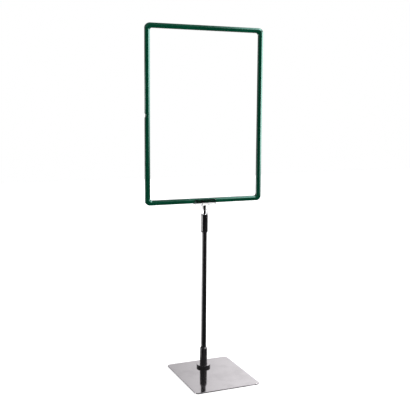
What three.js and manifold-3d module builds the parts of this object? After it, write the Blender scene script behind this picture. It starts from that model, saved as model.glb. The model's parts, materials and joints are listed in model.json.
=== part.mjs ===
// Height-adjustable sign stand: a moulded portrait poster frame held by a clear clip
// that swivels on a telescopic pole, standing on a weighted sheet-metal base plate.
// Units are millimetres, +Z is up, the front faces -Y.
// The origin is the centre of the base plate's footprint, on the floor.

import * as THREE from 'three';
import { mergeVertices } from 'three/addons/utils/BufferGeometryUtils.js';
import Module from 'manifold-3d';

const wasm = await Module();
wasm.setup();

// Fits
const gap = 0.3;          // between pieces that sit beside or on each other
const slideFit = 0.15;    // radial play of a tube in its bore
const overshoot = 1;      // how far a cutting tool runs past the face it opens

// Facets round a full turn
const wideRound = 64;
const poleRound = 48;
const innerRound = 40;
const smallRound = 32;

// Base plate and its rubber pads
const plateWidth = 168;
const plateDepth = 199;
const plateThickness = 2.5;
const plateCorner = 9;
const plateEdgeBevel = 0.4;
const poleSetback = 44;    // from the plate's rear edge to the pole's axis
const padDiameter = 14;
const padHeight = 1.2;
const padInset = 16;       // from the plate's edges to a pad's centre

// Foot: collar, socket, insert and the screw through the plate
const collarRim = 7.9;      // width of the ring round the socket
const collarHeight = 6.5;
const collarEdge = 0.5;
const socketWall = 2.35;    // at the top, where it is thinnest
const socketDraft = 0.45;   // how much further out the socket stands at the collar
const socketHeight = 52.5;
const socketFloor = 3;
const socketChamfer = 2;
const socketChamferHeight = 4;
const insertHeight = 22;
const screwDiameter = 5;
const screwHeadDiameter = 9.2;
const screwHeadHeight = 2.2;
const screwEngagement = 16;  // how far the screw reaches into the insert
const screwHexAcrossFlats = 3;
const screwHexDepth = 1.4;

// Telescopic tubes
const tubeDiameter = 12.7;
const tubeWall = 1;
const tubeLength = 370;
const mastPlay = 0.6;       // between the mast and the fixed tube's bore, all round
const mastWall = 1;
const mastGroundClearance = 5;  // between the insert and the guide bush when pushed down
const bushHeadHeight = 8;
const spigotLength = 12;

// Clamp nut and the slotted collet inside it
const nutWall = 1.1;
const nutLength = 45;
const nutOverlap = 24;          // how far the nut reaches down over the tube
const nutTopChamfer = 0.9;
const nutBottomChamfer = 0.9;
const nutBottomChamferHeight = 3;
const nutLip = 3;
const colletWall = 0.9;
const colletInset = 4;          // from the nut's lower end up to the collet
const colletTipGap = 2;         // from the slotted fingers up to the nut's lip
const colletTipWall = 0.8;
const colletSlotWidth = 1.2;
const colletSlots = 4;
const colletSlotShare = 0.7;    // of the nose's height

// Swivel pin on top of the mast, with two snap beads
const pinDiameter = 5.4;
const beadDiameter = 6;
const beadHeight = 2.4;
const beadRise = 1;             // from the flange up to the lower bead
const pinCover = 3.5;           // clear plastic left above the pin
const pinFlange = 1.2;
const flangeRecess = 0.2;       // flange top below the nut's top face

// Clear clip
const stemDiameter = 17.6;
const stemLength = 26;
const clipLength = 56;
const clipWall = 2;
const clipFloor = 2.6;
const cheekHeight = 10;
const fingerSlotWidth = 1.5;
const fingerSlotOffset = 9;     // from the clip's middle to each finger slot
const flareReach = 11;          // sideways, from the stem to the flare's ends
const flareHeight = 3.5;
const flareThickness = 9;

// Poster frame
const posterWidth = 297;
const posterHeight = 420;
const posterPlay = 0.5;
const posterSlot = 2;
const railBack = 6.5;           // from the sheet's groove to the rail's outer side
const frameDepth = 10;
const railFace = 12;
const frameCorner = 12;
const windowCorner = 6;
const bevelWidth = 4.8;         // how far each slope runs over the rail's face
const bevelDrop = 1.4;          // and how far it falls away from it
const notchLength = 12;
const notchDepth = 2;

// Levels and places worked out from the sizes above
const poleY = plateDepth / 2 - poleSetback;
const plateTop = padHeight + plateThickness;
const tubeBottom = plateTop + socketFloor;
const tubeTop = tubeBottom + tubeLength;
const tubeBore = tubeDiameter - 2 * tubeWall;
const socketTopDiameter = tubeDiameter + 2 * slideFit + 2 * socketWall;
const socketBaseDiameter = socketTopDiameter + 2 * socketDraft;
const collarDiameter = socketBaseDiameter + 2 * gap + 2 * collarRim;
const colletDiameter = tubeDiameter + 2 * slideFit + 2 * colletWall;
const nutDiameter = colletDiameter + 2 * slideFit + 2 * nutWall;
const colletSkirt = nutOverlap - colletInset;
const colletNose = nutLength - nutOverlap - nutLip - colletTipGap;
const nutBottom = tubeTop - nutOverlap;
const nutTop = nutBottom + nutLength;
const insertTop = tubeBottom + insertHeight;
const bushBottom = insertTop + mastGroundClearance;
const mastBottom = bushBottom + bushHeadHeight;
const mastDiameter = tubeBore - 2 * mastPlay;
const mastBore = mastDiameter - 2 * mastWall;
const pinLength = stemLength - pinCover;
const flangeTop = nutTop - flangeRecess;
const mastTop = flangeTop - pinFlange;
const mastLength = mastTop - mastBottom;
const stemBottom = nutTop + gap;
const clipFloorTop = stemBottom + stemLength + clipFloor;
const frameBottom = clipFloorTop + gap;
const grooveWidth = posterWidth + 2 * posterPlay;
const grooveHeight = posterHeight + 2 * posterPlay;
const frameWidth = grooveWidth + 2 * railBack;
const frameHeight = grooveHeight + 2 * railBack;
const frameMiddle = frameBottom + frameHeight / 2;

const plated = new THREE.MeshStandardMaterial({ color: 0xc9c5c8, roughness: 0.12, metalness: 1 });
const zinc = new THREE.MeshStandardMaterial({ color: 0xa9abad, roughness: 0.35, metalness: 1 });
const blackPaint = new THREE.MeshStandardMaterial({ color: 0x0b0b0c, roughness: 0.3, metalness: 0 });
const blackPlastic = new THREE.MeshStandardMaterial({ color: 0x101012, roughness: 0.38, metalness: 0 });
const nylon = new THREE.MeshStandardMaterial({ color: 0x2a2a2c, roughness: 0.55, metalness: 0 });
const rubber = new THREE.MeshStandardMaterial({ color: 0x18181a, roughness: 0.85, metalness: 0 });
const greenPlastic = new THREE.MeshStandardMaterial({ color: 0x064832, roughness: 0.25, metalness: 0 });
const clearPlastic = new THREE.MeshStandardMaterial({
  color: 0xf2f5f6,
  roughness: 0.08,
  metalness: 0,
  transparent: true,
  opacity: 0.35,
});

// Turns a profile of [radius, height] points, run upwards on the outside, about the Z axis.
function turned(profile, segments = innerRound) {
  const points = profile.map(([radius, height]) => new THREE.Vector2(radius, height));
  return new THREE.LatheGeometry(points, segments).rotateX(Math.PI / 2);
}

// A hollow turning: the profile comes back to its first point.
function turnedRing(profile, segments) {
  return turned([...profile, profile[0]], segments);
}

function roundedRectangle(width, height, radius, Kind = THREE.Shape) {
  const x = width / 2;
  const y = height / 2;
  const outline = new Kind();
  outline.moveTo(x - radius, -y);
  outline.absarc(x - radius, -y + radius, radius, -Math.PI / 2, 0, false);
  outline.absarc(x - radius, y - radius, radius, 0, Math.PI / 2, false);
  outline.absarc(-x + radius, y - radius, radius, Math.PI / 2, Math.PI, false);
  outline.absarc(-x + radius, -y + radius, radius, Math.PI, Math.PI * 1.5, false);
  outline.closePath();
  return outline;
}

function toSolid(geometry) {
  const bare = geometry.clone();
  bare.deleteAttribute('normal');
  bare.deleteAttribute('uv');
  const merged = mergeVertices(bare, 1e-4);
  const vertProperties = new Float32Array(merged.attributes.position.array);
  const triVerts = new Uint32Array(merged.index.array);
  return new wasm.Manifold(new wasm.Mesh({ numProp: 3, vertProperties, triVerts }));
}

function toGeometry(solid) {
  const mesh = solid.getMesh();
  const geometry = new THREE.BufferGeometry();
  geometry.setAttribute('position', new THREE.BufferAttribute(mesh.vertProperties, 3));
  geometry.setIndex(new THREE.BufferAttribute(mesh.triVerts, 1));
  geometry.computeVertexNormals();
  return geometry;
}

function cutFrom(geometry, tools) {
  const solid = tools.reduce((left, tool) => left.subtract(toSolid(tool)), toSolid(geometry));
  return toGeometry(solid);
}

function joined(geometries) {
  const [first, ...rest] = geometries.map(toSolid);
  return toGeometry(rest.reduce((sum, solid) => sum.add(solid), first));
}

function box(width, depth, height, x = 0, y = 0, z = 0) {
  return new THREE.BoxGeometry(width, depth, height).translate(x, y, z);
}

const stand = new THREE.Group();
const pole = new THREE.Group();
pole.position.set(0, poleY, 0);
stand.add(pole);

function place(parent, name, geometry, material, x = 0, y = 0, z = 0) {
  const mesh = new THREE.Mesh(geometry, material);
  mesh.name = name;
  mesh.position.set(x, y, z);
  parent.add(mesh);
}

// A clearance hole, countersunk from below, for the screw that holds the pole down.
function countersink() {
  const headRadius = screwHeadDiameter / 2 + gap;
  const shankRadius = screwDiameter / 2 + gap;
  return turned([
    [0, -overshoot],
    [headRadius, -overshoot],
    [headRadius, 0],
    [shankRadius, screwHeadHeight],
    [shankRadius, plateThickness + overshoot],
    [0, plateThickness + overshoot],
  ]);
}

function basePlate() {
  const outline = roundedRectangle(plateWidth, plateDepth, plateCorner);
  const sheet = new THREE.ExtrudeGeometry(outline, {
    depth: plateThickness - 2 * plateEdgeBevel,
    bevelThickness: plateEdgeBevel,
    bevelSize: plateEdgeBevel,
    bevelOffset: -plateEdgeBevel,
    bevelSegments: 1,
    curveSegments: 10,
  }).translate(0, 0, plateEdgeBevel);
  return cutFrom(sheet, [countersink().translate(0, poleY, 0)]);
}

function pad() {
  const radius = padDiameter / 2;
  return turned([[0, 0], [radius, 0], [radius, padHeight], [0, padHeight]], smallRound);
}

function baseCollar() {
  const radius = collarDiameter / 2;
  const bore = socketBaseDiameter / 2 + gap;
  return turnedRing([
    [bore, 0],
    [radius, 0],
    [radius, collarHeight - collarEdge],
    [radius - collarEdge, collarHeight],
    [bore, collarHeight],
  ], wideRound);
}

function footSocket() {
  const base = socketBaseDiameter / 2;
  const top = socketTopDiameter / 2;
  const bore = tubeDiameter / 2 + slideFit;
  const screwHole = screwDiameter / 2 + gap;
  return turnedRing([
    [screwHole, 0],
    [base, 0],
    [base, collarHeight],
    [top, socketHeight - socketChamferHeight],
    [top - socketChamfer, socketHeight],
    [bore, socketHeight],
    [bore, socketFloor],
    [screwHole, socketFloor],
  ], poleRound);
}

function tubeInsert() {
  const radius = tubeBore / 2 - slideFit;
  const bore = screwDiameter / 2 + gap;
  return turnedRing([[bore, 0], [radius, 0], [radius, insertHeight], [bore, insertHeight]]);
}

function baseScrew() {
  const length = plateThickness + socketFloor + screwEngagement;
  const shank = turned([
    [0, 0],
    [screwHeadDiameter / 2, 0],
    [screwDiameter / 2, screwHeadHeight],
    [screwDiameter / 2, length],
    [0, length],
  ], smallRound);
  const hexRadius = screwHexAcrossFlats / Math.sqrt(3);
  const hex = new THREE.CylinderGeometry(hexRadius, hexRadius, 2 * screwHexDepth, 6);
  return cutFrom(shank, [hex.rotateX(Math.PI / 2)]);
}

function straightTube(diameter, wall, length) {
  const outer = diameter / 2;
  const inner = outer - wall;
  return turnedRing([[inner, 0], [outer, 0], [outer, length], [inner, length]]);
}

// The skirt grips the fixed tube; the slotted nose is squeezed onto the mast by the nut.
function clampCollet() {
  const outer = colletDiameter / 2;
  const skirtBore = tubeDiameter / 2 + slideFit;
  const noseBore = mastDiameter / 2 + slideFit;
  const tip = noseBore + colletTipWall;
  const shoulder = colletSkirt + gap;
  const height = colletSkirt + colletNose;
  const body = turnedRing([
    [skirtBore, 0],
    [outer, 0],
    [outer, height - colletNose / 2],
    [tip, height],
    [noseBore, height],
    [noseBore, shoulder],
    [skirtBore, shoulder],
  ]);
  const slotDepth = colletNose * colletSlotShare;
  const slots = [];
  for (let i = 0; i < colletSlots / 2; i += 1) {
    const slot = box(4 * outer, colletSlotWidth, 2 * slotDepth, 0, 0, height);
    slots.push(slot.rotateZ((2 * Math.PI * i) / colletSlots));
  }
  return cutFrom(body, slots);
}

function clampNut() {
  const outer = nutDiameter / 2;
  const bore = colletDiameter / 2 + slideFit;
  const mouth = mastDiameter / 2 + slideFit;
  const coneBottom = nutOverlap + colletNose / 2 + gap;
  const coneTop = nutLength - nutLip;
  const coneTip = mouth + colletTipWall + gap;
  return turnedRing([
    [bore, 0],
    [outer - nutBottomChamfer, 0],
    [outer, nutBottomChamferHeight],
    [outer, nutLength - nutTopChamfer],
    [outer - nutTopChamfer, nutLength],
    [mouth, nutLength],
    [mouth, coneTop],
    [coneTip, coneTop],
    [bore, coneBottom],
  ], poleRound);
}

// Closes the mast's lower end and runs in the fixed tube.
function guideBush() {
  const head = tubeBore / 2 - slideFit;
  const spigot = mastBore / 2 - slideFit;
  const height = bushHeadHeight + spigotLength;
  return turned([
    [0, 0],
    [head, 0],
    [head, bushHeadHeight],
    [spigot, bushHeadHeight],
    [spigot, height],
    [0, height],
  ]);
}

// Spigot in the mast, flange on its end, and a pin with a snap bead near each end.
function swivelPin() {
  const spigot = mastBore / 2 - slideFit;
  const flange = mastDiameter / 2;
  const pin = pinDiameter / 2;
  const bead = beadDiameter / 2;
  const pinFoot = spigotLength + pinFlange;
  const lowBead = pinFoot + beadRise;
  const tip = pinFoot + pinLength;
  return turned([
    [0, 0],
    [spigot, 0],
    [spigot, spigotLength],
    [flange, spigotLength],
    [flange, pinFoot],
    [pin, pinFoot],
    [pin, lowBead],
    [bead, lowBead + beadHeight / 4],
    [bead, lowBead + (beadHeight * 3) / 4],
    [pin, lowBead + beadHeight],
    [pin, tip - 1.5 * beadHeight],
    [bead, tip - beadHeight],
    [bead, tip - beadHeight / 3],
    [pin, tip],
    [0, tip],
  ]);
}

// A stem on the pin, a shallow flare, and a channel of three spring fingers each side of the rail.
function clip() {
  const stemRadius = stemDiameter / 2;
  const bore = beadDiameter / 2 + slideFit;
  const boreDepth = pinLength + gap;
  const floorBottom = stemLength;
  const channel = frameDepth + 2 * gap;
  const channelHalf = channel / 2;
  const cheekY = channelHalf + clipWall / 2;
  const floorTop = floorBottom + clipFloor;
  const cheekTop = floorTop + cheekHeight;
  const stem = turned([
    [0, 0],
    [stemRadius, 0],
    [stemRadius, floorBottom + clipFloor / 2],
    [0, floorBottom + clipFloor / 2],
  ], poleRound);
  const floor = box(clipLength, channel + 2 * clipWall, clipFloor, 0, 0, floorBottom + clipFloor / 2);
  const cheekMiddle = (floorBottom + cheekTop) / 2;
  const cheeks = [-cheekY, cheekY].map(
    (y) => box(clipLength, clipWall, cheekTop - floorBottom, 0, y, cheekMiddle),
  );
  const flareOutline = new THREE.Shape();
  flareOutline.moveTo(-stemRadius, floorBottom - flareHeight);
  flareOutline.lineTo(stemRadius, floorBottom - flareHeight);
  flareOutline.lineTo(stemRadius + flareReach, floorBottom + clipFloor / 2);
  flareOutline.lineTo(-stemRadius - flareReach, floorBottom + clipFloor / 2);
  flareOutline.closePath();
  const flare = new THREE.ExtrudeGeometry(flareOutline, { depth: flareThickness, bevelEnabled: false })
    .rotateX(Math.PI / 2)
    .translate(0, flareThickness / 2, 0);
  const whole = joined([stem, floor, ...cheeks, flare]);
  const boreTool = turned([[0, -overshoot], [bore, -overshoot], [bore, boreDepth], [0, boreDepth]]);
  const slotReach = 2 * channel + 4 * clipWall;
  const slotHeight = cheekHeight + overshoot;
  const slotTools = [-fingerSlotOffset, fingerSlotOffset].map(
    (x) => box(fingerSlotWidth, slotReach, slotHeight, x, 0, floorTop + slotHeight / 2),
  );
  return cutFrom(whole, [boreTool, ...slotTools]);
}

// One moulding: rails with sloping edges, a groove for the sheet, and a full-height slot with a
// thumb notch in the left rail where the sheet goes in. Built about its own middle.
function posterFrame() {
  const outline = roundedRectangle(frameWidth, frameHeight, frameCorner);
  const windowWidth = frameWidth - 2 * railFace;
  const windowHeight = frameHeight - 2 * railFace;
  outline.holes.push(roundedRectangle(windowWidth, windowHeight, windowCorner, THREE.Path));
  const rails = new THREE.ExtrudeGeometry(outline, {
    depth: frameDepth - 2 * bevelDrop,
    bevelThickness: bevelDrop,
    bevelSize: bevelWidth,
    bevelOffset: -bevelWidth,
    bevelSegments: 1,
    curveSegments: 8,
  })
    .rotateX(Math.PI / 2)
    .translate(0, frameDepth / 2 - bevelDrop, 0);
  const groove = box(grooveWidth, posterSlot, grooveHeight);
  const slot = box(frameWidth / 2 + overshoot, posterSlot, grooveHeight, -(frameWidth / 2 + overshoot) / 2);
  const notchRadius = (notchLength ** 2 / 4 + notchDepth ** 2) / (2 * notchDepth);
  const notch = new THREE.CylinderGeometry(notchRadius, notchRadius, 2 * frameDepth, poleRound)
    .translate(-frameWidth / 2 + notchDepth - notchRadius, 0, 0);
  return cutFrom(rails, [groove, slot, notch]);
}

place(stand, 'base_plate', basePlate(), plated, 0, 0, padHeight);
for (const [end, y] of [['front', -plateDepth / 2 + padInset], ['rear', plateDepth / 2 - padInset]]) {
  for (const [side, x] of [['left', -plateWidth / 2 + padInset], ['right', plateWidth / 2 - padInset]]) {
    place(stand, `pad_${end}_${side}`, pad(), rubber, x, y, 0);
  }
}
place(pole, 'base_collar', baseCollar(), blackPlastic, 0, 0, plateTop);
place(pole, 'base_screw', baseScrew(), zinc, 0, 0, padHeight);
place(pole, 'foot_socket', footSocket(), blackPlastic, 0, 0, plateTop);
place(pole, 'tube_insert', tubeInsert(), zinc, 0, 0, tubeBottom);
const outerTube = straightTube(tubeDiameter, tubeWall, tubeLength);
place(pole, 'outer_tube', outerTube, blackPaint, 0, 0, tubeBottom);
place(pole, 'clamp_collet', clampCollet(), nylon, 0, 0, tubeTop - colletSkirt);
place(pole, 'clamp_nut', clampNut(), blackPlastic, 0, 0, nutBottom);
const mastTube = straightTube(mastDiameter, mastWall, mastLength);
place(pole, 'mast_tube', mastTube, blackPaint, 0, 0, mastBottom);
place(pole, 'guide_bush', guideBush(), nylon, 0, 0, bushBottom);
place(pole, 'swivel_pin', swivelPin(), blackPlastic, 0, 0, mastTop - spigotLength);
place(pole, 'clear_clip', clip(), clearPlastic, 0, 0, stemBottom);
place(pole, 'poster_frame', posterFrame(), greenPlastic, 0, 0, frameMiddle);

export default stand;
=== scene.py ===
import json
import math

import bmesh
import bpy
from mathutils import Matrix, Vector


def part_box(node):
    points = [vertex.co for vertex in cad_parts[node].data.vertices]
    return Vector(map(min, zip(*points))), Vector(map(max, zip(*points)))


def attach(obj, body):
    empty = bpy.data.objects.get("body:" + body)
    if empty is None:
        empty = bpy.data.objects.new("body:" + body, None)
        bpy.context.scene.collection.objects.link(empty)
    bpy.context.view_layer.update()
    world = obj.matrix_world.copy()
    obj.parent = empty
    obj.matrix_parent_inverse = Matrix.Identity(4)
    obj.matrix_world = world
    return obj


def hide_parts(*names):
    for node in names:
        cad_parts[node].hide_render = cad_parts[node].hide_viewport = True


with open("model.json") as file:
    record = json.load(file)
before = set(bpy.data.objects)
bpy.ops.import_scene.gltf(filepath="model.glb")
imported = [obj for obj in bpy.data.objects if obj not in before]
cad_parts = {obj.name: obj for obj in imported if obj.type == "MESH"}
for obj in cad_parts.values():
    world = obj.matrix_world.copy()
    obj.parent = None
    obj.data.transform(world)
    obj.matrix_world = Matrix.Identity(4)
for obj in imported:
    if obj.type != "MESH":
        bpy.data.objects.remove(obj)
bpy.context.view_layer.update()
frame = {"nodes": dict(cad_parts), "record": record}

# Poster stand: the finished surfaces and the studio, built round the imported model.
# The scene is in metres. The pieces' own dictionaries are in millimetres, and mm brings them over.

mm = 0.001
overshoot = 3 * mm       # how far a cutting tool runs past the face it opens
nearlyNothing = 1e-7     # a radius below this lies on the axis
weldDistance = 1e-6      # points closer than this become one
crispCrease = 32         # degrees; an edge that turns by more keeps its crease
softCrease = 40          # the same, after a piece has been softened

record = frame["record"]
nodes = frame["nodes"]
bodyOf = {node: body for body, members in record["behaviour"]["bodies"].items() for node in members}

for leftover in ("Cube", "Light", "Camera"):
    if leftover in bpy.data.objects:
        bpy.data.objects.remove(bpy.data.objects[leftover])
print("frame loaded:", len(nodes), "nodes")


class Wire:  # one socket, so that sums on sockets read as sums
    def __init__(self, tree, socket):
        self.tree, self.socket = tree, socket

    def sum(self, operation, *values):
        return self.tree.node("ShaderNodeMath", {"operation": operation}, dict(enumerate(values)))

    def __add__(self, other):
        return self.sum("ADD", self, other)

    def __sub__(self, other):
        return self.sum("SUBTRACT", self, other)

    def __rsub__(self, other):
        return self.sum("SUBTRACT", other, self)

    def __mul__(self, other):
        return self.sum("MULTIPLY", self, other)

    def __neg__(self):
        return self.sum("MULTIPLY", self, -1.0)

    __radd__ = __add__
    __rmul__ = __mul__


hairlineLook = dict(squash=0.03, thread=(0.68, 0.74), patchScale=38, patchEdge=0.12)


class NodeTree:  # makes nodes in one tree
    def __init__(self, owner):
        owner.use_nodes = True
        self.tree = owner.node_tree
        self.tree.nodes.clear()

    def node(self, kind, settings=None, sockets=None, out=None):
        made = self.tree.nodes.new(kind)
        for key, value in (settings or {}).items():
            setattr(made, key, value)
        for key, value in (sockets or {}).items():
            socket = made.inputs[key] if isinstance(key, int) else self.named(made.inputs, key)
            if isinstance(value, Wire):
                self.tree.links.new(value.socket, socket)
            else:
                socket.default_value = value
        if not len(made.outputs):
            return None
        return Wire(self, self.named(made.outputs, out))

    def named(self, sockets, name):
        shown = [socket for socket in sockets if socket.enabled]
        return shown[0] if name is None else next(socket for socket in shown if socket.name == name)

    def rise(self, value, low, high, floor=0.0, top=1.0):  # smooth step between low and high
        return self.node("ShaderNodeMapRange", {"interpolation_type": "SMOOTHSTEP"},
                         {"Value": value, "From Min": low, "From Max": high, "To Min": floor, "To Max": top})

    def blended(self, factor, first, second):  # mixes two colours
        return self.node("ShaderNodeMix", {"data_type": "RGBA"}, {"Factor": factor, "A": first, "B": second})

    def larger(self, first, second):
        return self.node("ShaderNodeMath", {"operation": "MAXIMUM"}, {0: first, 1: second})

    def noise(self, scale, stretch=(1, 1, 1), detail=3.0, rough=0.55, shift=(0, 0, 0)):
        here = self.node("ShaderNodeTexCoord", out="Object")
        moved = self.node("ShaderNodeVectorMath", {"operation": "MULTIPLY_ADD"},
                          {0: here, 1: stretch, 2: shift})
        return self.node("ShaderNodeTexNoise", {}, {"Vector": moved, "Scale": scale, "Detail": detail,
                                                    "Roughness": rough}, out="Fac")

    def hairlines(self, fine, tilt, share):  # short thin scratches along one direction, in patches
        look = hairlineLook
        here = self.node("ShaderNodeTexCoord", out="Object")
        turned = self.node("ShaderNodeMapping", {}, {"Vector": here, "Rotation": tilt,
                                                     "Scale": (look["squash"], 1, 1)})
        streaks = self.node("ShaderNodeTexNoise", {}, {"Vector": turned, "Scale": fine, "Detail": 1.0},
                            out="Fac")
        patches = self.noise(look["patchScale"], detail=2, shift=tilt)
        inPatch = self.rise(patches, 1 - share, 1 - share + look["patchEdge"])
        return self.rise(streaks, *look["thread"]) * inPatch

    def attribute(self, name):
        return self.node("ShaderNodeAttribute", {"attribute_name": name}, out="Fac")


class Finish(NodeTree):  # one material
    def __init__(self, name):
        self.material = bpy.data.materials.new(name)
        super().__init__(self.material)

    def close(self, sockets, height=None, depth=0.0, strength=0.0):  # height, if given, feeds a bump
        if height is not None:
            sockets["Normal"] = self.node("ShaderNodeBump", {}, {"Height": height, "Distance": depth,
                                                                 "Strength": strength})
        shader = self.node("ShaderNodeBsdfPrincipled", {}, sockets)
        self.node("ShaderNodeOutputMaterial", {}, {"Surface": shader})
        return self.material


greenLook = dict(deep=(0.0003, 0.026, 0.012), fresh=(0.0005, 0.038, 0.018), dust=(0.04, 0.10, 0.08),
                 gloss=0.09, haze=0.05, scuffShare=0.35, ior=1.54, sheenTint=(0.52, 1.0, 0.87))


def greenMoulding():
    look = greenLook
    tree = Finish("greenMoulding")
    flow = tree.noise(scale=9, stretch=(1, 1, 0.25), detail=2)  # slow colour drift along the rails
    grain = tree.noise(scale=900, detail=2)
    cloud = tree.noise(scale=55, detail=4)
    scuffs = tree.larger(tree.hairlines(1800, (0.1, 0.3, 0.2), look["scuffShare"]),
                         tree.hairlines(2200, (0.4, -1.2, 0.1), look["scuffShare"]))
    plain = tree.blended(tree.rise(flow, 0.35, 0.65), (*look["deep"], 1), (*look["fresh"], 1))
    flecked = tree.blended(grain * 0.10, plain, (*look["fresh"], 1))
    colour = tree.blended(scuffs * 0.05, flecked, (*look["dust"], 1))
    rough = look["gloss"] + look["haze"] * tree.rise(cloud, 0.42, 0.75) + scuffs * 0.05
    height = grain * 0.2 + tree.noise(scale=160, detail=1) * 0.7 - scuffs * 0.4
    return tree.close({"Base Color": colour, "Roughness": rough, "IOR": look["ior"],
                       "Specular Tint": (*look["sheenTint"], 1)}, height, depth=0.00001, strength=0.06)


platedLook = dict(bright=(0.60, 0.580, 0.592), dull=(0.49, 0.470, 0.482), gloss=0.045, haze=0.05,
                  lineShare=0.55)


def platedSteel():
    look = platedLook
    tree = Finish("platedSteel")
    brushed = tree.noise(scale=34, stretch=(1, 60, 60), detail=3)  # faint lines left by polishing
    cross = tree.noise(scale=30, stretch=(60, 1, 60), detail=2)
    cloud = tree.noise(scale=22, detail=4)
    spots = tree.rise(tree.noise(scale=420, detail=2), 0.70, 0.78)
    scratches = tree.larger(tree.hairlines(1500, (0, 0, 0.5), look["lineShare"]),
                            tree.hairlines(1900, (0, 0, 1.9), look["lineShare"]))
    worn = tree.attribute("worn")
    base = tree.blended(tree.rise(cloud, 0.40, 0.70) * 0.5 + brushed * 0.25, (*look["bright"], 1),
                        (*look["dull"], 1))
    colour = tree.blended(worn * 0.25 + spots * 0.20, base, (*look["dull"], 1))
    rough = (look["gloss"] + look["haze"] * tree.rise(cloud, 0.40, 0.75) + brushed * 0.035 + cross * 0.015
             + scratches * 0.10 + spots * 0.08 + worn * 0.05)
    height = brushed * 0.35 + cross * 0.15 - scratches * 0.5 + tree.noise(scale=70, detail=2) * 0.4
    return tree.close({"Base Color": colour, "Metallic": 1.0, "Roughness": rough}, height,
                      depth=0.000005, strength=0.10)


tubeLook = dict(ink=(0.003, 0.003, 0.0035), faded=(0.008, 0.008, 0.009), chip=(0.05, 0.05, 0.05),
                gloss=0.10)


def paintedTube():
    look = tubeLook
    tree = Finish("paintedTube")
    peel = tree.noise(scale=520, stretch=(1, 1, 0.6), detail=2)  # powder coat's orange peel
    cloud = tree.noise(scale=40, stretch=(1, 1, 0.3), detail=4)
    rub = tree.rise(tree.noise(scale=90, stretch=(1, 1, 0.10), detail=3), 0.58, 0.72)  # lengthwise rubbing
    worn = tree.attribute("worn")
    base = tree.blended(cloud * 0.6 + rub * 0.3, (*look["ink"], 1), (*look["faded"], 1))
    colour = tree.blended(worn * tree.rise(peel, 0.52, 0.60) * 0.7, base, (*look["chip"], 1))
    rough = look["gloss"] + peel * 0.05 + rub * 0.10 + worn * 0.12
    return tree.close({"Base Color": colour, "Roughness": rough, "IOR": 1.52}, peel,
                      depth=0.00001, strength=0.15)


blackLook = dict(ink=(0.003, 0.003, 0.0035), faded=(0.007, 0.007, 0.008), worn=(0.025, 0.025, 0.028),
                 gloss=0.09)


def blackMoulding():
    look = blackLook
    tree = Finish("blackMoulding")
    pebble = tree.noise(scale=1500, detail=2)  # fine spark-eroded texture
    cloud = tree.noise(scale=75, detail=4)
    turning = tree.noise(scale=160, stretch=(0.05, 0.05, 1), detail=2)  # faint rings round the piece
    scuffs = tree.hairlines(2600, (1.5, 0.2, 0.4), 0.50)
    worn = tree.attribute("worn")
    base = tree.blended(cloud * 0.7, (*look["ink"], 1), (*look["faded"], 1))
    colour = tree.blended(worn * (0.25 + 0.5 * cloud) + scuffs * 0.25, base, (*look["worn"], 1))
    rough = look["gloss"] + tree.rise(cloud, 0.4, 0.7) * 0.08 + pebble * 0.06 + scuffs * 0.14 + worn * 0.08
    height = pebble * 0.5 + turning * 0.5 - scuffs * 0.6
    return tree.close({"Base Color": colour, "Roughness": rough, "IOR": 1.50}, height,
                      depth=0.000008, strength=0.15)


def collarTrim():  # black lacquer with the plated top face left bare
    black, bright = blackLook, platedLook
    tree = Finish("collarTrim")
    bare = tree.rise(tree.attribute("bare"), 0.35, 0.65)
    cloud = tree.noise(scale=60, detail=4)
    rings = tree.noise(scale=420, stretch=(0.05, 0.05, 1), detail=2)
    lacquer = tree.blended(cloud * 0.6, (*black["ink"], 1), (*black["faded"], 1))
    metal = tree.blended(cloud * 0.5, (*bright["bright"], 1), (*bright["dull"], 1))
    rough = black["gloss"] + cloud * 0.05 + tree.attribute("worn") * 0.04 - bare * 0.03
    return tree.close({"Base Color": tree.blended(bare, lacquer, metal), "Metallic": bare,
                       "Roughness": rough, "IOR": 1.50}, rings, depth=0.000005, strength=0.12)


nylonLook = dict(dark=(0.022, 0.022, 0.024), light=(0.055, 0.055, 0.060), gloss=0.42)


def blackNylon():
    look = nylonLook
    tree = Finish("blackNylon")
    cloud = tree.noise(scale=120, detail=4)
    pebble = tree.noise(scale=2200, detail=2)
    colour = tree.blended(tree.rise(cloud, 0.3, 0.7), (*look["dark"], 1), (*look["light"], 1))
    rough = look["gloss"] + cloud * 0.16 + pebble * 0.06
    return tree.close({"Base Color": colour, "Roughness": rough, "IOR": 1.53}, pebble,
                      depth=0.00004, strength=0.35)


rubberLook = dict(dark=(0.020, 0.020, 0.021), dusty=(0.085, 0.082, 0.078), gloss=0.78)


def padRubber():
    look = rubberLook
    tree = Finish("padRubber")
    grit = tree.noise(scale=1800, detail=3)
    dust = tree.noise(scale=150, detail=5, rough=0.7)
    worn = tree.attribute("worn")
    colour = tree.blended(tree.rise(dust, 0.45, 0.8) * 0.6 + worn * 0.3, (*look["dark"], 1),
                          (*look["dusty"], 1))
    rough = look["gloss"] + grit * 0.14
    return tree.close({"Base Color": colour, "Roughness": rough, "IOR": 1.50}, grit,
                      depth=0.0001, strength=0.45)


zincLook = dict(bright=(0.62, 0.63, 0.64), dull=(0.40, 0.41, 0.42), stain=(0.46, 0.44, 0.37), gloss=0.28)


def zincSteel():
    look = zincLook
    tree = Finish("zincSteel")
    spangle = tree.noise(scale=260, detail=3)
    rings = tree.noise(scale=300, stretch=(0.06, 0.06, 1), detail=2)  # turned marks round the axis
    stain = tree.rise(tree.noise(scale=70, detail=4), 0.55, 0.75)
    base = tree.blended(tree.rise(spangle, 0.35, 0.7), (*look["bright"], 1), (*look["dull"], 1))
    colour = tree.blended(stain * 0.4, base, (*look["stain"], 1))
    rough = look["gloss"] + spangle * 0.14 + stain * 0.12
    return tree.close({"Base Color": colour, "Metallic": 1.0, "Roughness": rough}, rings,
                      depth=0.00005, strength=0.35)


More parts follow.
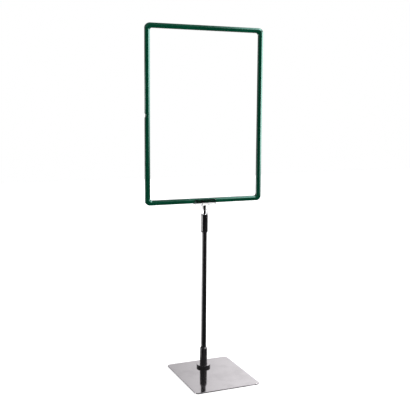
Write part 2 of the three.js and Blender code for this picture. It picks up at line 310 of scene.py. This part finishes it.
clearLook = dict(clean=(0.985, 0.992, 0.995), milky=(0.90, 0.93, 0.94), gloss=0.015, scuffShare=0.5,
                 ior=1.49)


def clearPlastic():
    look = clearLook
    tree = Finish("clearPlastic")
    flow = tree.noise(scale=120, stretch=(1, 1, 0.35), detail=3)  # flow lines from the moulding
    scuffs = tree.larger(tree.hairlines(2400, (0.2, 0.9, 0.3), look["scuffShare"]),
                         tree.hairlines(2900, (1.3, 0.1, 0.8), look["scuffShare"]))
    colour = tree.blended(scuffs * 0.3 + tree.rise(flow, 0.5, 0.8) * 0.2, (*look["clean"], 1),
                          (*look["milky"], 1))
    rough = look["gloss"] + tree.rise(flow, 0.45, 0.8) * 0.02 + scuffs * 0.06
    return tree.close({"Base Color": colour, "Roughness": rough, "IOR": look["ior"],
                       "Transmission Weight": 1.0}, flow, depth=0.00001, strength=0.10)


floorLook = dict(light=(0.62, 0.62, 0.62), dim=(0.58, 0.58, 0.58), gloss=0.85, glow=0.80)


def paleFloor():
    look = floorLook
    tree = Finish("paleFloor")
    cloud = tree.noise(scale=3, detail=3)
    colour = tree.blended(cloud, (*look["light"], 1), (*look["dim"], 1))
    # the glow keeps the floor pale without a hard shadow
    return tree.close({"Base Color": colour, "Roughness": look["gloss"] + cloud * 0.05,
                       "Specular IOR Level": 0.0, "Emission Color": (1, 1, 1, 1),
                       "Emission Strength": look["glow"]})


green = greenMoulding()
plated = platedSteel()
tubePaint = paintedTube()
blackPlastic = blackMoulding()
trimmed = collarTrim()
nylon = blackNylon()
rubber = padRubber()
zinc = zincSteel()
clear = clearPlastic()
print("finishes made")


def fitPiece(piece, node, material):  # takes the node's place, body and finish
    piece.data.materials.clear()
    piece.data.materials.append(material)
    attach(piece, bodyOf[node])
    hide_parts(node)
    print("made", piece.name, "with", len(piece.data.polygons), "faces")
    return piece


def meshObject(name, bm):
    bmesh.ops.recalc_face_normals(bm, faces=bm.faces)
    mesh = bpy.data.meshes.new(name)
    bm.to_mesh(mesh)
    bm.free()
    piece = bpy.data.objects.new(name, mesh)
    bpy.context.scene.collection.objects.link(piece)
    smooth(mesh, crispCrease)
    return piece


def smooth(mesh, crease):
    mesh.polygons.foreach_set("use_smooth", [True] * len(mesh.polygons))
    mesh.set_sharp_from_angle(angle=math.radians(crease))


def bridge(bm, near, far):  # faces between two closed loops with the same count
    for k in range(len(near)):
        j = (k + 1) % len(near)
        bm.faces.new((near[k], near[j], far[j], far[k]))


sideShare = 0.42         # the most of a side that a fillet at one end may take


def easedCorners(corners, closed, steps=4, hold=1.0 * mm):
    # corners are (radius, height, fillet); gives (point, worn) with the fillets drawn out, and, where
    # a side has room, a point at the hold distance from its fillet, which keeps its shading flat
    count = len(corners)
    room = 2.2 * hold
    points = []
    for i, (radius, height, fillet) in enumerate(corners):
        here = Vector((radius, height))
        if fillet <= 0 or (not closed and i in (0, count - 1)):
            points.append((here, 0.0))
            continue
        before = Vector(corners[i - 1][:2]) - here
        after = Vector(corners[(i + 1) % count][:2]) - here
        half = before.angle(after) / 2
        reach = min(fillet / math.tan(half), sideShare * before.length, sideShare * after.length)
        bend = reach * math.tan(half)
        centre = here + (before.normalized() + after.normalized()).normalized() * (bend / math.sin(half))
        first = before.normalized() * reach + here - centre
        last = after.normalized() * reach + here - centre
        turn = math.atan2(last.y, last.x) - math.atan2(first.y, first.x)
        turn = (turn + math.pi) % (2 * math.pi) - math.pi
        start = math.atan2(first.y, first.x)
        if before.length > reach + room:
            points.append((here + before.normalized() * (reach + hold), 0.0))
        for step in range(steps + 1):
            angle = start + turn * step / steps
            points.append((centre + Vector((math.cos(angle), math.sin(angle))) * bend, 1.0))
        if after.length > reach + room:
            points.append((here + after.normalized() * (reach + hold), 0.0))
    return points


def turnedPiece(name, corners, axis, closed=True, segments=96, steps=4):
    # a turning about a vertical axis; corners run up the outside, measured from the axis and the floor
    profile = easedCorners(corners, closed, steps)
    bm = bmesh.new()
    worn = bm.verts.layers.float.new("worn")
    rings = []
    for point, wear in profile:
        ring = []
        for k in range(1 if point.x < nearlyNothing else segments):
            angle = math.tau * k / segments
            vert = bm.verts.new((axis[0] + point.x * math.cos(angle),
                                 axis[1] + point.x * math.sin(angle), point.y))
            vert[worn] = wear
            ring.append(vert)
        rings.append(ring)
    for low, high in zip(rings, rings[1:] + rings[:1] if closed else rings[1:]):
        if len(low) == len(high):
            bridge(bm, low, high)
        else:
            hub, ring = (low[0], high) if len(low) == 1 else (high[0], low)
            for k in range(segments):
                bm.faces.new((hub, ring[k], ring[(k + 1) % segments]))
    return meshObject(name, bm)


def roundedLoop(width, height, radius, steps, middle=(0.0, 0.0)):
    # points round a rectangle with round corners, anticlockwise, the same count for any size
    loop = []
    for corner, (sx, sy) in enumerate(((1, -1), (1, 1), (-1, 1), (-1, -1))):
        cx = middle[0] + sx * (width / 2 - radius)
        cy = middle[1] + sy * (height / 2 - radius)
        for step in range(steps + 1):
            angle = math.radians(-90 + 90 * corner + 90 * step / steps)
            loop.append((cx + radius * math.cos(angle), cy + radius * math.sin(angle)))
    return loop


def boxPiece(name, low, high):
    bm = bmesh.new()
    bmesh.ops.create_cube(bm, size=1.0)
    low, high = Vector(low), Vector(high)
    for vert in bm.verts:
        vert.co = (low + high) / 2 + Vector(a * b for a, b in zip(vert.co, high - low))
    return meshObject(name, bm)


def prismPiece(name, outline, low, high, along="y"):
    # an outline carried from low to high: (x, z) points along Y, or (y, z) points along X
    def place(point, reach):
        return (reach, *point) if along == "x" else (point[0], reach, point[1])

    bm = bmesh.new()
    front = [bm.verts.new(place(point, low)) for point in outline]
    back = [bm.verts.new(place(point, high)) for point in outline]
    bm.faces.new(front)
    bm.faces.new(back[::-1])
    bridge(bm, front, back)
    return meshObject(name, bm)


def applied(piece, crease):  # bakes the piece's modifiers into its mesh
    shown = piece.evaluated_get(bpy.context.evaluated_depsgraph_get())
    mesh = bpy.data.meshes.new_from_object(shown)
    bm = bmesh.new()
    bm.from_mesh(mesh)
    bmesh.ops.remove_doubles(bm, verts=bm.verts, dist=weldDistance)
    bmesh.ops.dissolve_degenerate(bm, dist=weldDistance, edges=bm.edges)
    bm.to_mesh(mesh)
    bm.free()
    piece.modifiers.clear()
    piece.data = mesh
    smooth(mesh, crease)
    return piece


def shaped(piece, operation, tools):  # joins or cuts with other solids, which are used up
    for tool in tools:
        step = piece.modifiers.new(operation.lower(), "BOOLEAN")
        step.operation, step.solver, step.object = operation, "EXACT", tool
    bpy.context.view_layer.update()
    applied(piece, crispCrease)
    for tool in tools:
        bpy.data.objects.remove(tool)
    return piece


def softened(piece, width, angle):  # breaks the edges that turn by more than the angle
    bevel = piece.modifiers.new("soften", "BEVEL")
    bevel.width, bevel.segments, bevel.limit_method = width, 2, "ANGLE"
    bevel.angle_limit = math.radians(angle)
    bevel.use_clamp_overlap = True
    bpy.context.view_layer.update()
    return applied(piece, softCrease)


plateLow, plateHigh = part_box("base_plate")
socketLow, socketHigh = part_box("foot_socket")
poleAxis = ((socketLow.x + socketHigh.x) / 2, (socketLow.y + socketHigh.y) / 2)

basePlateSizes = dict(corner=9, edge=0.45, edgeSteps=4, edgeBand=2, cornerSteps=18, holeRadius=2.8,
                      sinkRadius=4.9, sinkDepth=2.2, holeSteps=48)


def makeBasePlate():
    sizes = basePlateSizes
    width, depth = plateHigh.x - plateLow.x, plateHigh.y - plateLow.y
    middle = ((plateLow.x + plateHigh.x) / 2, (plateLow.y + plateHigh.y) / 2)
    edge, band = sizes["edge"] * mm, sizes["edgeBand"] * mm
    bm = bmesh.new()
    worn = bm.verts.layers.float.new("worn")

    def loopAt(inset, z, wear):
        radius = sizes["corner"] * mm - inset
        points = roundedLoop(width - 2 * inset, depth - 2 * inset, radius, sizes["cornerSteps"], middle)
        loop = [bm.verts.new((x, y, z)) for x, y in points]
        for vert in loop:
            vert[worn] = wear
        return loop

    quarter = [math.radians(90 * step / sizes["edgeSteps"]) for step in range(sizes["edgeSteps"] + 1)]
    loops = [loopAt(edge + band, plateLow.z, 0.0)]
    loops += [loopAt(edge * (1 - math.sin(angle)), plateLow.z + edge * (1 - math.cos(angle)), 1.0)
              for angle in quarter]
    loops += [loopAt(edge * (1 - math.cos(angle)), plateHigh.z - edge * (1 - math.sin(angle)), 1.0)
              for angle in quarter]
    loops.append(loopAt(edge + band, plateHigh.z, 0.0))

    def ringAt(radius, z):
        ring = []
        for k in range(sizes["holeSteps"]):
            angle = math.tau * k / sizes["holeSteps"]
            ring.append(bm.verts.new((poleAxis[0] + radius * mm * math.cos(angle),
                                      poleAxis[1] + radius * mm * math.sin(angle), z)))
        return ring

    rings = [ringAt(sizes["sinkRadius"], plateLow.z),
             ringAt(sizes["holeRadius"], plateLow.z + sizes["sinkDepth"] * mm),
             ringAt(sizes["holeRadius"], plateHigh.z)]
    for low, high in [*zip(loops, loops[1:]), *zip(rings, rings[1:])]:
        bridge(bm, low, high)
    for loop, ring in ((loops[0], rings[0]), (loops[-1], rings[-1])):
        rim = [link for vert in loop + ring for link in vert.link_edges
               if link.is_boundary and set(link.verts) <= set(loop + ring)]
        bmesh.ops.triangle_fill(bm, use_beauty=True, edges=list(dict.fromkeys(rim)))
    return fitPiece(meshObject("basePlate", bm), "base_plate", plated)


padSizes = dict(edge=0.35, dishRadius=4.2, dishDepth=0.3)


def makePad(name, node):
    sizes = padSizes
    low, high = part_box(node)
    radius = (high.x - low.x) / 2
    axis = ((low.x + high.x) / 2, (low.y + high.y) / 2)
    dish, depth, edge = sizes["dishRadius"] * mm, sizes["dishDepth"] * mm, sizes["edge"] * mm
    corners = [(0, low.z + depth, 0), (dish, low.z + depth, edge / 2), (dish + depth, low.z, edge / 2),
               (radius, low.z, edge), (radius, high.z, edge / 3), (0, high.z, 0)]
    return fitPiece(turnedPiece(name, corners, axis, closed=False, segments=64), node, rubber)


makeBasePlate()
makePad("padFrontLeft", "pad_front_left")
makePad("padFrontRight", "pad_front_right")
makePad("padRearLeft", "pad_rear_left")
makePad("padRearRight", "pad_rear_right")
print("base done")


collarSizes = dict(bore=9.6, edge=0.5, foot=0.25, bareDepth=0.05)


def makeCollar():
    sizes = collarSizes
    low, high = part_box("base_collar")
    outer, bore = (high.x - low.x) / 2, sizes["bore"] * mm
    edge, foot = sizes["edge"] * mm, sizes["foot"] * mm
    corners = [(bore, low.z, foot), (outer, low.z, foot), (outer, high.z, edge), (bore, high.z, foot)]
    piece = turnedPiece("baseCollar", corners, poleAxis, segments=128, steps=5)
    bare = piece.data.attributes.new("bare", "FLOAT", "POINT")  # the top face, left bright
    bareFrom = high.z - sizes["bareDepth"] * mm
    for vert, entry in zip(piece.data.vertices, bare.data):
        entry.value = 1.0 if vert.co.z > bareFrom else 0.0
    return fitPiece(piece, "base_collar", trimmed)


socketSizes = dict(bore=6.5, screwHole=2.8, floor=3, top=8.85, collar=6.5, chamfer=2, chamferHeight=4,
                   edge=0.35)


def makeSocket():
    sizes = {key: value * mm for key, value in socketSizes.items()}
    base = (socketHigh.x - socketLow.x) / 2
    low, high, edge = socketLow.z, socketHigh.z, sizes["edge"]
    top = sizes["top"]
    corners = [(sizes["screwHole"], low, 0), (base, low, edge), (base, low + sizes["collar"], edge),
               (top, high - sizes["chamferHeight"], edge * 2),
               (top - sizes["chamfer"], high - edge / 2, edge / 2),
               (sizes["bore"], high, edge / 3), (sizes["bore"], low + sizes["floor"], 0),
               (sizes["screwHole"], low + sizes["floor"], 0)]
    return fitPiece(turnedPiece("footSocket", corners, poleAxis), "foot_socket", blackPlastic)


tubeSizes = dict(wall=1.0, edge=0.25)


def makeTube(name, node):
    low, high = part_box(node)
    outer = (high.x - low.x) / 2
    bore, edge = outer - tubeSizes["wall"] * mm, tubeSizes["edge"] * mm
    corners = [(bore, low.z, edge), (outer, low.z, edge), (outer, high.z, edge), (bore, high.z, edge)]
    return fitPiece(turnedPiece(name, corners, poleAxis), node, tubePaint)


makeCollar()
makeSocket()
makeTube("fixedTube", "outer_tube")
makeTube("mastTube", "mast_tube")
print("pole done")


nutSizes = dict(bottomChamfer=0.9, bottomHeight=3, topChamfer=0.9, bore=7.55, mouth=4.9, lip=3,
                cone=6.0, coneDrop=12, edge=0.3)


def makeNut():
    sizes = {key: value * mm for key, value in nutSizes.items()}
    low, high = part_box("clamp_nut")
    outer, edge = (high.x - low.x) / 2, sizes["edge"]
    corners = [(sizes["bore"], low.z, edge), (outer - sizes["bottomChamfer"], low.z, edge),
               (outer, low.z + sizes["bottomHeight"], edge), (outer, high.z - sizes["topChamfer"], edge),
               (outer - sizes["topChamfer"], high.z, edge), (sizes["mouth"], high.z, edge),
               (sizes["mouth"], high.z - sizes["lip"], 0), (sizes["cone"], high.z - sizes["lip"], 0),
               (sizes["bore"], high.z - sizes["coneDrop"], 0)]
    return fitPiece(turnedPiece("clampNut", corners, poleAxis), "clamp_nut", blackPlastic)


pinSizes = dict(spigot=3.6, spigotLength=12, flange=4.75, flangeHeight=1.2, pin=2.7, bead=3.0, beadHeight=2.4,
                beadRise=1.0, edge=0.2)


def makePin():
    sizes = {key: value * mm for key, value in pinSizes.items()}
    low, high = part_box("swivel_pin")
    pin, bead, beadHeight, edge = sizes["pin"], sizes["bead"], sizes["beadHeight"], sizes["edge"]
    flangeLow = low.z + sizes["spigotLength"]
    flangeTop = flangeLow + sizes["flangeHeight"]
    lowBead = flangeTop + sizes["beadRise"]
    corners = [(0, low.z, 0), (sizes["spigot"], low.z, edge), (sizes["spigot"], flangeLow, edge),
               (sizes["flange"], flangeLow, edge), (sizes["flange"], flangeTop, edge), (pin, flangeTop, edge),
               (pin, lowBead, edge * 2), (bead, lowBead + beadHeight / 4, edge * 2),
               (bead, lowBead + beadHeight * 3 / 4, edge * 2), (pin, lowBead + beadHeight, edge * 2),
               (pin, high.z - 1.5 * beadHeight, edge * 2), (bead, high.z - beadHeight, edge * 2),
               (bead, high.z - beadHeight / 3, edge * 2), (pin, high.z, edge), (0, high.z, 0)]
    piece = turnedPiece("swivelPin", corners, poleAxis, closed=False, segments=64)
    return fitPiece(piece, "swivel_pin", blackPlastic)


makeNut()
makePin()
print("clamp done")


clipSizes = dict(stem=8.8, stemEdge=0.6, stemOverlap=1.2, bore=3.15, pinRoom=0.3, stemLength=26, floor=2.6,
                 wall=2.0, flareFoot=7.92, flareReach=11, flareHeight=3.5, flareThickness=9,
                 flareOverlap=1.0, slotWidth=1.5, slotAt=9, web=0.2, soften=0.5)
softenAbove = dict(clip=40, frame=50)   # degrees


def makeClip():
    sizes = {key: value * mm for key, value in clipSizes.items()}
    low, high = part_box("clear_clip")
    x, y = poleAxis
    stem, foot = sizes["stem"], low.z
    floorLow = foot + sizes["stemLength"]
    floorHigh = floorLow + sizes["floor"]
    railLow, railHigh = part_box("poster_frame")
    inside = (railHigh.y - railLow.y) / 2 + sizes["pinRoom"]
    outside = inside + sizes["wall"]
    channel = [(y - outside, floorLow), (y + outside, floorLow), (y + outside, high.z), (y + inside, high.z),
               (y + inside, floorHigh), (y - inside, floorHigh), (y - inside, high.z), (y - outside, high.z)]
    body = prismPiece("clearClip", channel, low.x, high.x, along="x")
    stemTop = floorLow + sizes["stemOverlap"]
    post = turnedPiece("clipStem", [(0, foot, 0), (stem, foot, sizes["stemEdge"]), (stem, stemTop, 0),
                                    (0, stemTop, 0)], poleAxis, closed=False, segments=64)
    narrow, wide = sizes["flareFoot"], stem + sizes["flareReach"]
    flareLow, flareHigh = floorLow - sizes["flareHeight"], floorLow + sizes["flareOverlap"]
    outline = [(x - narrow, flareLow), (x + narrow, flareLow), (x + wide, flareHigh), (x - wide, flareHigh)]
    halfFlare = sizes["flareThickness"] / 2
    flare = prismPiece("clipFlare", outline, y - halfFlare, y + halfFlare)
    shaped(body, "UNION", [post, flare])
    slots = []
    for slotX in (x - sizes["slotAt"], x + sizes["slotAt"]):
        halfSlot = sizes["slotWidth"] / 2
        slots.append(boxPiece("slotTool", (slotX - halfSlot, low.y - overshoot, floorHigh + sizes["web"]),
                              (slotX + halfSlot, high.y + overshoot, high.z + overshoot)))
    shaped(body, "DIFFERENCE", slots)
    softened(body, sizes["soften"], softenAbove["clip"])
    bore, boreFoot = sizes["bore"], foot - overshoot  # cut last, so its edge stays sharp
    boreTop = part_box("swivel_pin")[1].z + sizes["pinRoom"]
    boreTool = turnedPiece("boreTool", [(0, boreFoot, 0), (bore, boreFoot, 0), (bore, boreTop, 0),
                                        (0, boreTop, 0)], poleAxis, closed=False, segments=48)
    shaped(body, "DIFFERENCE", [boreTool])
    return fitPiece(body, "clear_clip", clear)


makeClip()
print("clip done")


frameSizes = dict(rail=12, corner=12, windowCorner=6, slopeWidth=4.8, slopeDrop=1.4, ease=0.8, easeSteps=6,
                  easeHold=0.2, crown=0.04, cornerSteps=16, sheetWidth=298, sheetHeight=421, slot=2.0,
                  mouthOverlap=1.0, notchLength=12, notchDepth=2.0, notchLeadIn=3.6, notchSteps=16,
                  soften=0.25)


def railSection(width, half):
    # (distance across the rail from its outer side, half thickness there), with the corners eased
    sizes = {key: value * mm for key, value in frameSizes.items()}
    slope, drop, crown, ease = sizes["slopeWidth"], sizes["slopeDrop"], sizes["crown"], sizes["ease"]
    corners = [(0, 0, 0), (0, half - drop, ease), (slope, half - crown, ease * 2), (width / 2, half, 0),
               (width - slope, half - crown, ease * 2), (width, half - drop, ease), (width, 0, 0)]
    points = easedCorners(corners, False, frameSizes["easeSteps"], sizes["easeHold"])
    return [(point.x, point.y) for point, wear in points]


def makePosterFrame():
    sizes = frameSizes
    low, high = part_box("poster_frame")
    width, height = high.x - low.x, high.z - low.z
    middle = ((low.x + high.x) / 2, (low.z + high.z) / 2)
    centreY = (low.y + high.y) / 2
    rail = sizes["rail"] * mm
    outer = roundedLoop(width, height, sizes["corner"] * mm, sizes["cornerSteps"], middle)
    inner = roundedLoop(width - 2 * rail, height - 2 * rail, sizes["windowCorner"] * mm,
                        sizes["cornerSteps"], middle)
    bm = bmesh.new()
    sections = []
    for (ox, oz), (ix, iz) in zip(outer, inner):
        start, across = Vector((ox, oz)), Vector((ix - ox, iz - oz))
        section = railSection(across.length, (high.y - low.y) / 2)
        along = across.normalized()
        front = [(start + along * s, centreY - half) for s, half in section]
        back = [(start + along * s, centreY + half) for s, half in section[-2:0:-1]]
        sections.append([bm.verts.new((p.x, y, p.y)) for p, y in front + back])
    for near, far in zip(sections, sections[1:] + sections[:1]):
        bridge(bm, near, far)
    piece = meshObject("posterFrame", bm)
    sheetX, sheetZ, slot = (sizes[side] * mm / 2 for side in ("sheetWidth", "sheetHeight", "slot"))
    groove = boxPiece("grooveTool", (middle[0] - sheetX, centreY - slot, middle[1] - sheetZ),
                      (middle[0] + sheetX, centreY + slot, middle[1] + sheetZ))
    mouthEnd = middle[0] - sheetX + sizes["mouthOverlap"] * mm
    mouth = boxPiece("mouthTool", (low.x - overshoot, centreY - slot, middle[1] - sheetZ),
                     (mouthEnd, centreY + slot, middle[1] + sheetZ))
    notchHalf, notchDepth = sizes["notchLength"] * mm / 2, sizes["notchDepth"] * mm
    leadIn = notchHalf + sizes["notchLeadIn"] * mm
    outline = [(low.x - overshoot, middle[1] - leadIn)]
    for k in range(sizes["notchSteps"] + 1):
        across = -1 + 2 * k / sizes["notchSteps"]
        outline.append((low.x + notchDepth * (1 - across ** 2), middle[1] + notchHalf * across))
    outline.append((low.x - overshoot, middle[1] + leadIn))
    notch = prismPiece("notchTool", outline, low.y - overshoot, high.y + overshoot)
    shaped(piece, "DIFFERENCE", [groove, mouth, notch])
    softened(piece, sizes["soften"] * mm, softenAbove["frame"])
    return fitPiece(piece, "poster_frame", green)


makePosterFrame()
print("poster frame done")


keptFinishes = dict(base_screw=zinc, tube_insert=zinc, clamp_collet=nylon, guide_bush=nylon)
for node, material in keptFinishes.items():
    piece = nodes[node]
    if not piece.data.materials:
        piece.data.materials.append(material)
    for place in piece.material_slots:
        place.material = material
print("kept pieces finished")


studio = dict(floorSize=9.0, tint=(1.0, 0.985, 1.0), frontFill=0.03, firstBounce=(1.6, 1.2),
              backdropBounce=(0.6, 0.4))
softbox = dict(place=(0.3, 0.2, 2.6), target=(0, 0, 0.3), size=(2.4, 2.4), power=6)

# The room's glows, each a strength and its edges. An edge is a direction, where the glow starts
# and is full along it, and what is left outside and reached inside where these aren't 0 and 1.
up = Vector((0, 0, 1))
ahead = Vector((0.391, 0.920, 0.0))
right = Vector((0.920, -0.391, 0.0))
backdropGlow = (1.0, [(ahead, 0.1, 0.5), (up, -0.22, -0.10), (right, -0.07, 0.08, 0.66, 1.12)])
leftStripGlow = (10.0, [(-right, 0.42, 0.62), (ahead, -0.55, -0.40), (ahead, 0.75, 0.0, 0.15),
                        (up, -0.36, -0.18), (-up, 0.04, 0.12)])
rightBoxGlow = (14.0, [(right, 0.78, 0.86), (up + right * 3.0, 2.81, 2.96), (up, 0.30, 0.18),
                       (up, -0.20, -0.08), (ahead, 0.7, 0.3)])
upperBoxGlow = (13.0, [(right + up * 0.15, 0.725, 0.80), (up, 0.22, 0.34), (-ahead, 0.1, 0.3)])
overheadGlow = (0.40, [(up, 0.12, 0.30), (ahead, 0.5, 0.1)])


def makeFloor():
    half = studio["floorSize"] / 2
    bm = bmesh.new()
    corners = ((-half, -half), (half, -half), (half, half), (-half, half))
    bm.faces.new([bm.verts.new((x, y, 0.0)) for x, y in corners])
    floor = meshObject("studioFloor", bm)
    floor.data.materials.append(paleFloor())
    floor.visible_glossy = False  # gloss and the clear clip see the room's glows instead
    floor.visible_transmission = False


def makeSurroundings():
    world = bpy.data.worlds.new("studioWorld")
    bpy.context.scene.world = world
    tree = NodeTree(world)
    way = tree.node("ShaderNodeTexCoord", out="Generated")

    def glow(strength, edges):
        for direction, *span in edges:
            towards = tree.node("ShaderNodeVectorMath", {"operation": "DOT_PRODUCT"}, {0: way, 1: direction},
                                out="Value")
            strength = tree.rise(towards, *span) * strength
        return strength

    glossyDepth = tree.node("ShaderNodeLightPath", out="Glossy Depth")
    first = tree.rise(glossyDepth, *studio["firstBounce"])  # no boxes seen by way of the plate
    boxes = (glow(*rightBoxGlow) + glow(*upperBoxGlow)) * first
    total = studio["frontFill"] + glow(*backdropGlow) + glow(*leftStripGlow) + boxes + glow(*overheadGlow)
    coloured = tree.node("ShaderNodeVectorMath", {"operation": "SCALE"}, {0: studio["tint"], "Scale": total})
    room = tree.node("ShaderNodeBackground", {}, {"Color": coloured, "Strength": 1.0})
    plainWhite = tree.node("ShaderNodeBackground", {}, {"Color": (1, 1, 1, 1), "Strength": 1.0})
    bounced = glossyDepth + tree.node("ShaderNodeLightPath", out="Diffuse Depth")
    unbounced = tree.rise(bounced, *studio["backdropBounce"])
    straightThrough = tree.node("ShaderNodeLightPath", out="Is Transmission Ray") * unbounced
    seen = tree.larger(tree.node("ShaderNodeLightPath", out="Is Camera Ray"), straightThrough)
    mixed = tree.node("ShaderNodeMixShader", {}, {"Fac": seen, 1: room, 2: plainWhite})
    tree.node("ShaderNodeOutputWorld", {}, {"Surface": mixed})


def makeLight(name, place, target, size, power):
    data = bpy.data.lights.new(name, "AREA")
    data.shape, data.size, data.size_y, data.energy = "RECTANGLE", size[0], size[1], power
    light = bpy.data.objects.new(name, data)
    bpy.context.scene.collection.objects.link(light)
    light.location = place
    light.rotation_euler = (Vector(target) - Vector(place)).to_track_quat("-Z", "Y").to_euler()


makeFloor()
makeSurroundings()
makeLight("topSoftbox", **softbox)
bpy.context.scene.view_settings.view_transform = "Standard"
print("studio made")


cameraSizes = dict(lens=61.99, sensor=36.0, place=(-0.6810, -1.5530, 0.6689), azimuth=-22.978, pitch=-6.692,
                   roll=0.383, shift=-0.0415, nearest=0.05, farthest=50)


def makeCamera():
    sizes = cameraSizes
    data = bpy.data.cameras.new("studioCamera")
    camera = bpy.data.objects.new("studioCamera", data)
    bpy.context.scene.collection.objects.link(camera)
    data.sensor_width, data.lens, data.shift_y = sizes["sensor"], sizes["lens"], sizes["shift"]
    data.clip_start, data.clip_end = sizes["nearest"], sizes["farthest"]
    turn = (Matrix.Rotation(math.radians(sizes["azimuth"]), 3, "Z")
            @ Matrix.Rotation(math.radians(90 + sizes["pitch"]), 3, "X")
            @ Matrix.Rotation(math.radians(sizes["roll"]), 3, "Z"))
    camera.matrix_world = Matrix.Translation(sizes["place"]) @ turn.to_4x4()
    bpy.context.scene.camera = camera


makeCamera()
print("camera placed")
